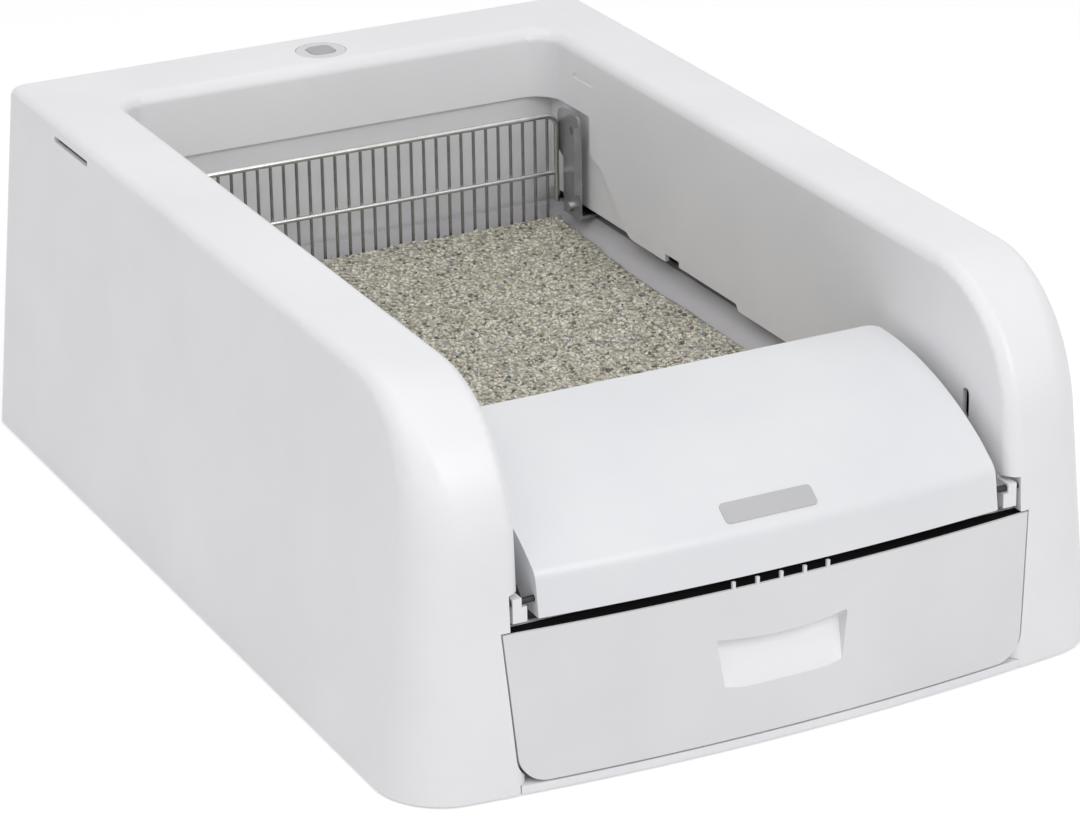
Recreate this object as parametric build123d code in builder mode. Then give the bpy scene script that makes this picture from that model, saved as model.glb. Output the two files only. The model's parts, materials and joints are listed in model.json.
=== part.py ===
from build123d import *
import os
from math import atan, cos, pi, radians, sin, sqrt, tan

# Rake-type self-cleaning litter box with a pull-out waste drawer, in millimetres.
# X runs across the box, Y from the drawer (front) to the back, Z up.
# The origin is on the floor at the middle of the box. The front faces -Y.

# ---------------------------------------------------------------- driving dimensions
# A size named *_out or *_in is measured outwards or inwards from the open bay's side,
# and one named *_behind is measured back from the front of the foot.
# Housing
width = 495.0  # across the foot of the side walls
length = 704.0  # front of the bowed foot to the back wall
nose_height = 247.0  # top of the rails where the noses begin
rail_width = 79.5  # foot of the side wall to the open bay
deck_depth = 71.0  # open bay to the back wall
deck_pitch = 0.5  # degrees, the rails rise towards the back
wall = 3.2
side_draft = 5.4  # degrees
back_draft = 0.5
front_lean = 3.5
nose_radius = 92.0
pillar_turn = 6.7  # degrees, each pillar's face turns back towards the corner
bow_radius = 1600.0  # the front's curve seen from above
rail_edge = 10.0  # rounding along the rails' outer edge
nose_edge = 34.0  # the same rounding at the foot of the nose
foot_edge = 48.0  # and at the floor
back_edge = 8.5
skirt_lift = 1.5  # housing's lower edge above the floor
opening_corner = 22.0
rim_radius = 10.0

lip_height = 201.0  # lower edge of the back inner wall
side_edge_height = 127.0  # lower edge of the side inner walls
side_edge_step = 2.5
bay_length = 64.0  # cut-out where the rake parks
bay_slope = 59.0  # length of its sloped front

hood_slot = (62.0, 4.0)
hood_slot_ahead = 126.0  # from the back wall
hood_slot_drop = 8.0
rail_slot = (32.0, 4.0)
rail_slot_ahead = 55.0  # from the back of the open bay
rail_slot_drop = 21.0
latch_slot = (21.0, 7.5)
latch_slot_behind = 69.0
latch_slot_rise = 56.0  # above the drawer

# Drawer
drawer_top = 104.0
drawer_foot = 8.0
drawer_out = 13.5
drawer_foot_out = 6.0
drawer_corner = 19.0
drawer_gap = 1.1
panel_skin = 3.0
panel_depth = 29.0
seal_lip = 1.8  # front lip that hides the seal's edge
seal_depth = 1.8
scoop_width = 91.0
scoop_foot_width = 81.0
scoop_low = 40.0
scoop_high = 74.0
scoop_depth = 15.0
scoop_sag = 4.0
rib_pitch = 16.3
rib_count = 5
rib_width = 2.2
rib_height = 4.4
bin_in = 10.0
bin_length = 124.0
bin_drop = 4.0
bin_wall = 2.2
runner_height = 8.0
runner_in = 26.0
running_gap = 0.3

# Waste cover: each place in its section is (behind the front, above the drawer)
cover_in = 9.5
cover_back_place = (162.0, 79.0)
cover_crest_place = (97.0, 71.5)
cover_brow_place = (36.0, 45.0)
cover_chin_place = (19.5, 33.0)
cover_lip_place = (15.5, 6.5)
cover_skin = 2.8
cover_corner = 8.0
cover_lift = 3.5  # its lower edge above the litter pan's rim
bullnose = 13.0
hinge_behind = 22.0
hinge_rise = 17.0
hinge_boss = 4.2
hinge_pin = 2.0
bearing_in = 3.5
bearing_out = 5.9
notch_out = 8.5
notch_rise = 7.0  # above the hinge
badge = (63.0, 14.5)
badge_behind = 32.0
badge_thick = 0.8

# Litter pan, liner and litter
pan_floor = 40.0
pan_skin = 2.5
pan_in = 10.0
pan_corner = 20.0
pan_back_corner = 5.0
pan_slope_length = 35.0
pan_back_gap = 19.0  # pan's floor short of the open bay's back
rim_drop = 8.5  # pan's rim below the inner walls' edge
rim_out = 10.0
pan_shoulder_drop = 14.5
pan_flange = 6.0
litter_drop = 10.5  # litter below the pan's rim
litter_heap = 8.0  # and how much higher it lies against the rake
liner_out = 6.0
liner_skin = 2.2
liner_rise = 6.0

# Rake
rake_setback = 25.0  # ahead of the open bay's back
rake_in = 7.0
rake_stop = 30.0  # left between the rake and the pan's floor edge at the front
top_wire = 4.0
cross_wire = 3.4
tine_wire = 2.4
tine_pitch = 10.0
tine_lift = 4.0  # clear of the pan's floor
top_wire_drop = 8.0  # below the back inner wall's edge
cross_wire_drop = 44.5  # below the top wire
wire_bend = 9.0
plate_skin = 2.2
plate_reach = 32.0
plate_drop = 2.0
plate_lug = 32.0
tongue_gap = 1.8  # over the pan's rim

# Carriages, rods and belts
rod_out = 32.0
rod_rise = 11.5  # over the carriage's underside
rod_radius = 4.0
carriage_inner_out = 19.0
carriage_outer_out = 44.0
carriage_reach = 34.0
carriage_tail = 8.0
carriage_cap = 12.0
belt_out = 49.0
belt_rise = 16.0  # over the rod
pulley_radius = 11.0
belt_thick = 1.6
belt_width = 6.0
pulley_ahead = 36.0  # of the back wall
idler_lead = 14.0

# Drive
shaft_radius = 4.0
bush_radius = 7.0
idler_pin = 2.5
gear_module = 1.25
gear_teeth = 34
pinion_teeth = 14
gear_x = 71.0
gear_face = 8.0
motor_radius = 17.0
motor_length = 64.0
motor_screw_pitch = 26.0

# Base
floor_under = 3.0
floor_skin = 3.0
base_behind = 40.0
base_gap = 0.8
base_corner = 50.0
rib_skin = 2.6
rim_rib = 10.0
strip_drop = 1.4  # strip's top below the drawer front
bulkhead_behind = 159.0
foot_radius = 12.0
foot_out = 37.0
foot_inset = 112.0  # front feet behind the front
foot_ahead = 52.0  # back feet ahead of the back wall
screw_out = (58.0, 64.0, 62.0)
screw_inset = 122.0
screw_ahead = 112.0
screw_radius = 1.5
screw_head = 3.4
boss_radius = 4.5
boss_height = 24.0
tower_back_ahead = 56.0

# Controls and power
button_ahead = 41.0
ring_radius = 18.5
ring_thick = 1.4
ring_inset = 1.2
button_size = 19.0
button_corner = 6.0
button_travel = 1.2
board_skin = 1.6
board_post_x = 19.0
board_x = (-110.0, -20.0)
board_z = (40.0, 100.0)
board_ahead = 52.0
switch_height = 112.0
inlet_place = (-150.0, 30.0)
inlet_radius = 6.0

# Fits
running_fit = 0.15  # radial, pins and shafts that turn
loose_fit = 0.3  # everything that only has to go together

os.makedirs("parts", exist_ok=True)

# ---------------------------------------------------------------- worked-out places
half_open = width / 2 - rail_width
front_y = -length / 2
back_y = length / 2
opening_back = back_y - deck_depth
lean = tan(radians(front_lean))
turn = tan(radians(pillar_turn))
nose_z = nose_height - nose_radius
pillar_front = front_y + half_open**2 / (2 * bow_radius)
nose_y = pillar_front + nose_z * lean + nose_radius / cos(radians(front_lean))
side_out = Vector(1, 0, tan(radians(side_draft))).normalized()
bay_front = opening_back - bay_length
bay_slope_foot = bay_front - bay_slope

hood_slot_place = (back_y - hood_slot_ahead, nose_height - hood_slot_drop)
rail_slot_place = (opening_back - rail_slot_ahead, nose_height - rail_slot_drop)
latch_slot_place = (front_y + latch_slot_behind, drawer_top + latch_slot_rise)

floor_top = floor_under + floor_skin
base_front = front_y + base_behind
bulkhead_y = front_y + bulkhead_behind
bulkhead_back = bulkhead_y + rib_skin

drawer_half_top = half_open + drawer_out
drawer_half_foot = half_open + drawer_foot_out
panel_back = front_y + panel_depth
bin_half = half_open - bin_in
bin_back = panel_back + bin_length
bin_top = drawer_top - bin_drop
runner_x = half_open - runner_in
strip_half = drawer_half_foot - 0.1
strip_top = drawer_foot - strip_drop
drawer_screw_z = (drawer_foot + 22, drawer_top - 28)
drawer_screw_places = [(x, z) for x in (38 - bin_half, bin_half - 38) for z in drawer_screw_z]

pan_rim = side_edge_height - rim_drop
pan_half = half_open - pan_in
pan_rim_half = half_open + rim_out
pan_rim_front = bulkhead_y + 8
pan_front = pan_rim_front + pan_slope_length
pan_back = opening_back - pan_back_gap
pan_rim_back = pan_back + 12
pan_shoulder = pan_rim - pan_shoulder_drop
litter_top = pan_rim - litter_drop
liner_half = half_open + liner_out
liner_back = opening_back + wall + 3
liner_top = lip_height + liner_rise
liner_screw_places = (44 - liner_half, 0, liner_half - 44)

cover_half = half_open - cover_in
hinge_y = front_y + hinge_behind
hinge_z = drawer_top + hinge_rise
notch_half = half_open + notch_out
notch_top = hinge_z + notch_rise
cover_skirt = pan_rim + cover_lift

rake_y = opening_back - rake_setback
rake_half = half_open - rake_in
tine_count = int(2 * rake_half / tine_pitch)
top_wire_height = lip_height - top_wire_drop
cross_wire_height = top_wire_height - cross_wire_drop
tine_foot = pan_floor + tine_lift
plate_x = rake_half + top_wire / 2
plate_front = rake_y - plate_reach
plate_top = lip_height - plate_drop
tongue_height = pan_rim + tongue_gap
side_wire_foot = tongue_height + plate_skin + 3.5
bolt_place = (rake_y - 18, tongue_height + 6.7)

rod_x = half_open + rod_out
carriage_inner = half_open + carriage_inner_out
carriage_outer = half_open + carriage_outer_out
carriage_front = rake_y - carriage_reach
carriage_back = rake_y + carriage_tail
carriage_bottom = tongue_height + plate_skin
carriage_screw = (rod_x - 8.5, carriage_front + 15)
rod_z = carriage_bottom + rod_rise
carriage_top = rod_z + carriage_cap
rod_front = bulkhead_y - 15
rod_back = back_y - tower_back_ahead
belt_x = half_open + belt_out
belt_z = rod_z + belt_rise
belt_low = belt_z - pulley_radius - belt_thick
pulley_y = back_y - pulley_ahead
idler_y = rod_front - idler_lead
shaft_half = belt_x + 5
pinion_z = belt_z - gear_module * (gear_teeth + pinion_teeth) / 2
motor_x = gear_x + gear_face / 2 + 9
motor_screw_y = (pulley_y - motor_screw_pitch / 2, pulley_y + motor_screw_pitch / 2)

foot_y = (front_y + foot_inset, back_y - foot_ahead)
foot_places = [(half_open + foot_out, y) for y in (foot_y[0], sum(foot_y) / 2, foot_y[1])]
screw_y = (front_y + screw_inset, back_y - screw_ahead)
screw_places = [(half_open + out, y) for out, y in zip(screw_out, (screw_y[0], sum(screw_y) / 2, screw_y[1]))]
switch_y = carriage_back + 7
board_y = back_y - board_ahead
button_place = (0.0, back_y - button_ahead)


def side_x(z, inset=0.0):
    """Half-width of the side wall at a height."""
    return width / 2 - inset / cos(radians(side_draft)) - z * tan(radians(side_draft))


def front_at(x, z):
    """Where the bowed, leaning front lies."""
    return front_y + x**2 / (2 * bow_radius) + z * lean


def deck_z(y):
    """Height of the rails and deck behind the noses."""
    return nose_height + (y - nose_y) * tan(radians(deck_pitch))


deck_top = deck_z(button_place[1])
deck_under = deck_top - wall
ring_seat = deck_top - ring_inset
switch_top = deck_under - 5.4
board_top = switch_top - 2.2


def save(part, name):
    part.label = name
    export_step(part, f"parts/{name}.step")


def save_pair(part, name):
    """The part on the right-hand side, and its mirror image on the left."""
    save(part, f"{name}_right")
    save(mirror(part, about=Plane.YZ), f"{name}_left")


def block(x, y, z, mode=Mode.ADD):
    """A box from the low to the high place along each axis."""
    with Locations(((x[0] + x[1]) / 2, (y[0] + y[1]) / 2, (z[0] + z[1]) / 2)):
        Box(x[1] - x[0], y[1] - y[0], z[1] - z[0], mode=mode)


def bar(start, end, radius, mode=Mode.ADD):
    """A round bar between two points."""
    start = Vector(*start)
    end = Vector(*end)
    with BuildSketch(Plane(origin=start, z_dir=end - start)) as disc:
        Circle(radius)
    extrude(disc.sketch, amount=(end - start).length, mode=mode)


# ---------------------------------------------------------------- housing
def spandrel(point, face_out, radius, margin=8.0):
    """What the rounding of the outer edge takes off, as a section at one place."""
    bite = 0.003 * radius
    along = face_out.cross(side_out)
    inward = along.cross(face_out).normalized()
    inward = inward * -1 if inward.dot(side_out) > 0 else inward
    down = along.cross(side_out).normalized()
    down = down * -1 if down.dot(face_out) > 0 else down
    angle = radians(inward.get_angle(down))
    reach = radius / tan(angle / 2)
    bisector = Vector(cos(angle / 2), sin(angle / 2))
    tangent_1 = Vector(reach, 0) - bisector * bite
    tangent_2 = Vector(reach * cos(angle), reach * sin(angle)) - bisector * bite
    middle = Vector(reach, radius) - bisector * (bite + radius)
    outer = Vector(-margin * (1 + cos(angle)) / sin(angle), -margin)
    beyond_1 = Vector(tangent_1.X, -margin)
    beyond_2 = tangent_2 + Vector(-sin(angle), cos(angle)) * margin
    with BuildSketch(Plane(origin=point, x_dir=inward, z_dir=inward.cross(down))) as section:
        with BuildLine():
            Polyline(tangent_1, beyond_1, outer, beyond_2, tangent_2)
            ThreePointArc(tangent_2, middle, tangent_1)
        make_face()
    return section.sketch


def nose_station(angle, inset):
    """Point on the nose's outer edge, and the nose's outward direction there."""
    radius = nose_radius - inset
    z = nose_z + radius * cos(angle)
    x = side_x(z, inset)
    y = nose_y - radius * sin(angle) + (x - half_open) * turn
    return Vector(x, y, z), Vector(turn * sin(angle), -sin(angle), cos(angle)).normalized()


def rail_rounding(inset):
    start, up = nose_station(-radians(deck_pitch), inset)
    with BuildPart() as rail:
        add(spandrel(start, up, rail_edge - inset))
        extrude(amount=length, dir=(0, cos(radians(deck_pitch)), sin(radians(deck_pitch))))
    return rail.part


def nose_rounding(inset, stations=10):
    first = -radians(deck_pitch)
    last = radians(90 - front_lean)
    with BuildPart() as nose:
        for i in range(stations + 1):
            share = i / stations
            ease = share**2 * (3 - 2 * share)
            point, out = nose_station(first + (last - first) * share, inset)
            add(spandrel(point, out, rail_edge + (nose_edge - rail_edge) * ease - inset))
        loft()
    return nose.part


def pillar_rounding(inset):
    top, out = nose_station(radians(90 - front_lean), inset)
    foot_z = -20.0
    foot_x = side_x(foot_z, inset)
    foot = Vector(foot_x, top.Y - (top.Z - foot_z) * lean + (foot_x - top.X) * turn, foot_z)
    with BuildPart() as pillar:
        add(spandrel(top, out, nose_edge - inset))
        add(spandrel(foot, out, foot_edge - inset))
        loft(ruled=True)
    return pillar.part


def housing_half(inset, foot):
    """Right half of the housing as a solid U, its skin moved in by the inset."""
    radius = nose_radius - inset
    start_y = nose_y - half_open * turn
    low = radians(front_lean)
    high = radians(90 + deck_pitch)

    def nose_point(angle):
        return start_y - radius * cos(angle), nose_z + radius * sin(angle)

    tangent = nose_point(low)
    top = nose_point(high)
    front_foot = (tangent[0] - (tangent[1] - foot) * lean, foot)
    far_top = top[1] + (length - top[0]) * tan(radians(deck_pitch))
    sky = 2 * nose_height
    with BuildPart() as half:
        with BuildSketch(Plane.YZ):
            with BuildLine():
                Polyline(top, (length, far_top), (length, foot), front_foot, tangent)
                ThreePointArc(tangent, nose_point((low + high) / 2), top)
            make_face()
        extrude(amount=width, dir=(1, turn, 0))
        # the side wall's draft
        with BuildSketch(Plane.XZ.offset(length)):
            with BuildLine():
                edge = [(side_x(z, inset), z) for z in (foot, sky)]
                Polyline((0, foot), *edge, (0, sky), close=True)
            make_face()
        extrude(amount=-3 * length, mode=Mode.INTERSECT)
        # the back wall's draft
        slope = tan(radians(back_draft))
        back = back_y - inset
        with BuildSketch(Plane.YZ):
            with BuildLine():
                Polyline((-length, foot), (back - foot * slope, foot), (back - sky * slope, sky))
                Polyline((back - sky * slope, sky), (-length, sky), (-length, foot))
            make_face()
        extrude(amount=width, mode=Mode.INTERSECT)
        add(rail_rounding(inset), mode=Mode.SUBTRACT)
        add(nose_rounding(inset), mode=Mode.SUBTRACT)
        add(pillar_rounding(inset), mode=Mode.SUBTRACT)
        back_face = half.faces().sort_by(Axis.Y)[-1]
        outline = [e for e in back_face.edges() if e.center().X > 1 and e.center().Z > foot + 1]
        fillet(outline, back_edge - inset)
        # the open bay between the rails
        side = half_open + inset
        rear = opening_back + inset
        with BuildSketch(Plane.XY.offset(foot - 1)):
            with BuildLine():
                Polyline((-1, -length), (side, -length), (side, rear), (-1, rear), close=True)
            make_face()
            corner = [v for v in vertices() if v.X > 1 and v.Y > 1]
            fillet(corner, opening_corner + inset)
        extrude(amount=sky, mode=Mode.SUBTRACT)
        rim = [
            e
            for e in half.edges()
            if e.center().X <= side + 0.01
            and e.center().Z > foot + 5
            and e.center().Y < rear + 0.01
            and e.center().X > 1
            and not (abs(e.tangent_at(0.5).Z) > 0.99 and e.center().Y > 0)
        ]
        fillet(rim, rim_radius - inset)
    return half.part


def inner_wall_cut():
    """Everything below the inner walls' lower edge, behind the drawer bay."""
    step = side_edge_step
    low = side_edge_height - step
    high = side_edge_height + step - 0.5
    slope_top = (bay_front - 16, lip_height - 34)
    with BuildPart() as cut:
        with BuildSketch(Plane.YZ):
            with BuildLine():
                Polyline(
                    (base_front - base_gap, -5),
                    (base_front - base_gap, floor_top),
                    (bulkhead_y, floor_top),
                    (bulkhead_y, low),
                    (bay_slope_foot - 158, low),
                    (bay_slope_foot - 154, high),
                    (bay_slope_foot - 74, high),
                    (bay_slope_foot - 74, high + 4),
                    (bay_slope_foot - 54, high + 4),
                    (bay_slope_foot - 54, side_edge_height),
                    (bay_slope_foot, side_edge_height),
                    slope_top,
                    (bay_front, slope_top[1] + 5),
                    (bay_front, lip_height),
                    (opening_back + wall + 1, lip_height),
                    (opening_back + wall + 1, -5),
                    close=True,
                )
            make_face()
            foot = vertices().sort_by_distance((bay_slope_foot, side_edge_height, 0))[0]
            fillet(foot, 18)
            shoulder = vertices().sort_by_distance((slope_top[0], slope_top[1], 0))[0]
            fillet(shoulder, 9)
        extrude(amount=half_open + wall + 0.01)
    return cut.part


def front_block(inset, half_top, half_foot, low, high, back, corner):
    """Solid under the bowed, leaning front, with a trapezoid outline."""
    with BuildPart() as block:
        with BuildSketch(Plane.XY):
            with BuildLine():
                span = half_top + 10
                ends = front_at(span, 0) + inset
                ThreePointArc((-span, ends), (0, front_y + inset), (span, ends))
                Polyline((span, ends), (span, back), (-span, back), (-span, ends))
            make_face()
        extrude(amount=200, dir=(0, lean, 1))
        with BuildSketch(Plane.XZ.offset(length)):
            with BuildLine():
                Polyline((-half_top, high), (-half_foot, low), (half_foot, low), (half_top, high), close=True)
            make_face()
            if corner > 0:
                fillet(vertices().group_by(Axis.Y)[0], corner)
        extrude(amount=-length - back, mode=Mode.INTERSECT)
    return block.part


def pillar_core():
    """Solid ends of the front pillars, where the drawer and cover are let in."""
    with BuildPart() as core:
        block((half_open, half_open + 20), (front_y + 1, front_y + 35), (skirt_lift, notch_top + 7.5))
    return core.part


with BuildPart() as housing:
    outer = housing_half(0, skirt_lift)
    hollow = housing_half(wall, -10)
    add(outer)
    add(hollow - pillar_core(), mode=Mode.SUBTRACT)
    add(inner_wall_cut(), mode=Mode.SUBTRACT)
    # drawer front's seat in the pillars, and the base strip's below it
    seat_half = (drawer_half_top + drawer_gap, drawer_half_foot + drawer_gap)
    seat_z = (drawer_foot - drawer_gap, drawer_top + drawer_gap)
    add(front_block(-20, *seat_half, *seat_z, panel_back + 1, drawer_corner), mode=Mode.SUBTRACT)
    block((0, drawer_half_foot + 0.4), (front_y - 12, front_y + 48), (0, seat_z[0]), Mode.SUBTRACT)
    # notch for the cover's hinge, with the bearing block that takes its pin
    notch_y = (hinge_y - 13, hinge_y + 9)
    bearing_y = (hinge_y - hinge_pin - 1.5, notch_y[1] + 1)
    block((0, notch_half), notch_y, (seat_z[1], notch_top), Mode.SUBTRACT)
    bearing_low = drawer_top + 5
    bearing_x = half_open + bearing_out
    block((half_open - bearing_in, bearing_x), bearing_y, (bearing_low, hinge_z - hinge_pin - 0.5))
    block((half_open, bearing_x), bearing_y, (bearing_low, hinge_z + hinge_pin + 1.5))
    pin_bore = hinge_pin + running_fit
    bar((half_open - 1, hinge_y, hinge_z), (half_open + 16, hinge_y, hinge_z), pin_bore, Mode.SUBTRACT)
    # bosses that the base is screwed to
    for x, y in screw_places:
        with BuildSketch(Plane.XY.offset(floor_top)):
            with Locations((x, y)):
                Circle(boss_radius)
            with Locations(((x + side_x(floor_top + boss_height) - 1) / 2, y)):
                Rectangle(side_x(floor_top + boss_height) - 1 - x, 2.4)
        extrude(amount=boss_height)
        bar((x, y, floor_top - 1), (x, y, floor_top + boss_height - 4), screw_radius + 0.1, Mode.SUBTRACT)
    # slots
    with BuildSketch(Plane.YZ.offset(side_x(hood_slot_place[1]) - 14)):
        with Locations(hood_slot_place):
            SlotOverall(*hood_slot)
    extrude(amount=30, mode=Mode.SUBTRACT)
    with BuildSketch(Plane.YZ.offset(half_open - 1)):
        with Locations(rail_slot_place):
            SlotOverall(*rail_slot)
    extrude(amount=2.2, mode=Mode.SUBTRACT)
    with BuildSketch(Plane.YZ.offset(half_open - 1)):
        with Locations(Location(latch_slot_place, 90)):
            SlotOverall(*latch_slot)
    extrude(amount=wall + 2, mode=Mode.SUBTRACT)
    # post that holds the button board
    post = (board_post_x, button_place[1])
    bar((*post, board_top), (*post, deck_under + 1), 3.5)
    bar((*post, board_top - 1), (*post, board_top + 5), 1.1, Mode.SUBTRACT)
    mirror(about=Plane.YZ)
    # button seat and its hole through the deck
    with BuildSketch(Plane((*button_place, ring_seat))):
        Circle(ring_radius)
    extrude(amount=5, mode=Mode.SUBTRACT)
    with BuildSketch(Plane((*button_place, deck_under - 5))):
        RectangleRounded(button_size + 0.8, button_size + 0.8, button_corner + 0.4)
    extrude(amount=12, mode=Mode.SUBTRACT)
    # power inlet's hole
    inlet_x, inlet_z = inlet_place
    bar((inlet_x, back_y - 12, inlet_z), (inlet_x, back_y + 2, inlet_z), inlet_radius, Mode.SUBTRACT)
save(housing.part, "housing")

# ---------------------------------------------------------------- base
base_half = side_x(floor_top + rim_rib, wall) - base_gap
base_back = back_y - wall - (floor_top + rim_rib) * tan(radians(back_draft)) - base_gap


def base_outline(inset):
    """The floor plate's outline, with rounded front corners."""
    with BuildSketch(Plane.XY) as outline:
        with Locations((0, (base_front + base_back) / 2)):
            Rectangle(2 * base_half - 2 * inset, base_back - base_front - 2 * inset)
        fillet(outline.vertices().group_by(Axis.Y)[0], base_corner - inset)
        fillet(outline.vertices().group_by(Axis.Y)[-1], back_edge - wall)
    return outline.sketch


with BuildPart() as base:
    # bulkhead behind the drawer, and the drawer's runner and side guide
    block((0, half_open - 1), (bulkhead_y, bulkhead_back), (floor_top, pan_rim - pan_skin))
    block((runner_x - 1.5, runner_x + 1.5), (panel_back + 4, bin_back), (floor_top, runner_height))
    block((bin_half + 3.6, bin_half + 6.2), (panel_back + 14, bulkhead_y + 1), (floor_top, 34))
    # cradle under the litter pan
    cradle_x = pan_half - 48
    cradle_y = (pan_front + 50, pan_back - 42)
    cradle_z = (floor_top, pan_floor - pan_skin)
    block((0, rib_skin / 2), (pan_front + 10, pan_back - 7), cradle_z)
    block((cradle_x - rib_skin / 2, cradle_x + rib_skin / 2), (pan_front + 10, pan_back - 7), cradle_z)
    for y in (cradle_y[0], sum(cradle_y) / 2, cradle_y[1]):
        block((0, pan_half - 8), (y - rib_skin / 2, y + rib_skin / 2), cradle_z)
    # towers for the guide rod, the idler and the drive shaft
    block((rod_x - 10, rod_x + 10), (rod_front - 4, rod_front + 6), (floor_top, rod_z + 14))
    block((rod_x + 6, rod_x + 10), (idler_y - 14, rod_front + 6), (floor_top, belt_z + 14))
    block((rod_x - 10, rod_x + 4), (rod_back - 6, rod_back + 4), (floor_top, rod_z + 14))
    block((rod_x - 4, rod_x + 2), (rod_back, pulley_y + 18), (floor_top, belt_z + 18))
    block((rod_x + 6, rod_x + 12), (switch_y, switch_y + 13), (floor_top, switch_height))
    bar((rod_x, rod_front, rod_z), (rod_x, rod_front + 20, rod_z), rod_radius + running_fit, Mode.SUBTRACT)
    bar((rod_x, rod_back - 20, rod_z), (rod_x, rod_back, rod_z), rod_radius + running_fit, Mode.SUBTRACT)
    bar((rod_x, idler_y, belt_z), (rod_x + 20, idler_y, belt_z), idler_pin + 0.1, Mode.SUBTRACT)
    bar((rod_x - 10, pulley_y, belt_z), (rod_x + 10, pulley_y, belt_z), bush_radius + 0.1, Mode.SUBTRACT)
    mirror(about=Plane.YZ)
    # floor plate, the strip under the drawer front, and the rib round the edge
    add(Plane.XY.offset(floor_under) * base_outline(0))
    extrude(amount=floor_skin)
    add(front_block(0.5, strip_half, strip_half, skirt_lift, strip_top, base_front + 2, 0))
    with BuildPart() as edge_rib:
        with BuildSketch(Plane.XY.offset(floor_top)):
            add(base_outline(0))
            add(base_outline(rib_skin), mode=Mode.SUBTRACT)
        extrude(amount=rim_rib)
        doorway = (-drawer_half_top, drawer_half_top)
        block(doorway, (base_front - 1, base_front + 8), (floor_top, 40), Mode.SUBTRACT)
        for x, y in screw_places:
            for side in (-1, 1):
                block((side * x - 22, side * x + 22), (y - 4, y + 4), (floor_top, 40), Mode.SUBTRACT)
    add(edge_rib.part)
    for x, y in screw_places:
        for side in (-1, 1):
            bar((side * x, y, 0), (side * x, y, floor_top), screw_radius + loose_fit, Mode.SUBTRACT)
    for x in liner_screw_places:
        bar((x, liner_back + 4, 0), (x, liner_back + 4, floor_top), screw_radius + 0.1, Mode.SUBTRACT)
    for y in motor_screw_y:
        bar((motor_x + 10, y, 0), (motor_x + 10, y, floor_top), screw_radius + 0.1, Mode.SUBTRACT)
    # card guides for the control board
    for x in board_x:
        block((x - 4, x + 4), (board_y - 4, board_y + board_skin + 4), (floor_top, board_z[0] + 34))
    block(board_x, (board_y, board_y + board_skin), board_z, Mode.SUBTRACT)
save(base.part, "base")

with BuildPart() as feet:
    for x, y in foot_places:
        with Locations((x, y, floor_under / 2), (-x, y, floor_under / 2)):
            Cylinder(foot_radius, floor_under)
    chamfer(feet.edges().group_by(Axis.Z)[0], 0.8)
save(feet.part, "feet")

with BuildPart() as housing_screws:
    for x, y in screw_places:
        bar((x, y, floor_under), (x, y, floor_top + boss_height - 8), screw_radius)
        bar((x, y, floor_under - 2.2), (x, y, floor_under), screw_head)
    mirror(about=Plane.YZ)
save(housing_screws.part, "housing_screws")


# ---------------------------------------------------------------- litter pan, litter and liner
def tub(levels):
    """Ruled solid through rounded rectangles: (z, half-width, front, back, front and back corner)."""
    with BuildPart() as solid:
        for z, half, front, back, corner, back_corner in levels:
            with BuildSketch(Plane.XY.offset(z)) as level:
                with Locations((0, (front + back) / 2)):
                    Rectangle(2 * half, back - front)
                fillet(level.vertices().group_by(Axis.Y)[0], corner)
                fillet(level.vertices().group_by(Axis.Y)[-1], back_corner)
        loft(ruled=True)
    return solid.part


pan_slope = (pan_rim_front - pan_front) / (pan_rim - pan_floor)
pan_levels = (
    (pan_floor, pan_half, pan_front, pan_back, pan_corner, pan_back_corner),
    (pan_shoulder, pan_half + 3, pan_front + pan_slope * (pan_shoulder - pan_floor), pan_back + 2,
     pan_corner, pan_back_corner),
    (pan_rim, pan_rim_half, pan_rim_front, pan_rim_back, pan_corner + 4, pan_back_corner + 7),
)
outer_levels = tuple(
    (z - drop, half + pan_skin, front - pan_skin, back + pan_skin, corner + pan_skin, back_corner + pan_skin)
    for (z, half, front, back, corner, back_corner), drop in zip(pan_levels, (pan_skin, 1.2, 1.2))
)
with BuildPart() as litter_pan:
    add(tub(outer_levels))
    with BuildSketch(Plane.XY.offset(pan_rim - pan_skin)) as flange:
        with Locations((0, (bulkhead_y + 0.4 + pan_rim_back + pan_flange) / 2)):
            Rectangle(2 * (pan_rim_half + pan_flange), pan_rim_back + pan_flange - bulkhead_y - 0.4)
        fillet(flange.vertices().group_by(Axis.Y)[0], pan_corner + 4)
        fillet(flange.vertices().group_by(Axis.Y)[-1], pan_back_corner + 9)
    extrude(amount=pan_skin)
    add(tub(pan_levels), mode=Mode.SUBTRACT)
save(litter_pan.part, "litter_pan")

with BuildPart() as litter_bed:
    litter_back = rake_y + 1.2
    add(tub((
        (pan_floor, pan_half - 0.5, pan_front + 0.4, litter_back, pan_corner, 2),
        (pan_shoulder, pan_half + 2.3, pan_front + pan_slope * (pan_shoulder - pan_floor) + 0.8, litter_back,
         pan_corner, 2),
        (litter_top + 1, pan_half + 4.5, pan_front + pan_slope * (litter_top - pan_floor), litter_back,
         pan_corner, 2),
        (pan_rim + 4, pan_half + 4.5, pan_front + pan_slope * (litter_top - pan_floor), litter_back,
         pan_corner, 2),
    )))
    with BuildSketch(Plane.YZ.offset(-width / 2)):
        with BuildLine():
            Spline(
                (2 * bulkhead_y, litter_top - 1),
                (pan_front, litter_top - 1),
                (0, litter_top),
                (rake_y - 60, litter_top + 0.3 * litter_heap),
                (rake_y + 4, litter_top + litter_heap),
            )
            Polyline((rake_y + 4, litter_top + litter_heap), (rake_y + 4, 300), (2 * bulkhead_y, 300),
                     (2 * bulkhead_y, litter_top - 1))
        make_face()
    extrude(amount=width, mode=Mode.SUBTRACT)
save(litter_bed.part, "litter_bed")

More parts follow.
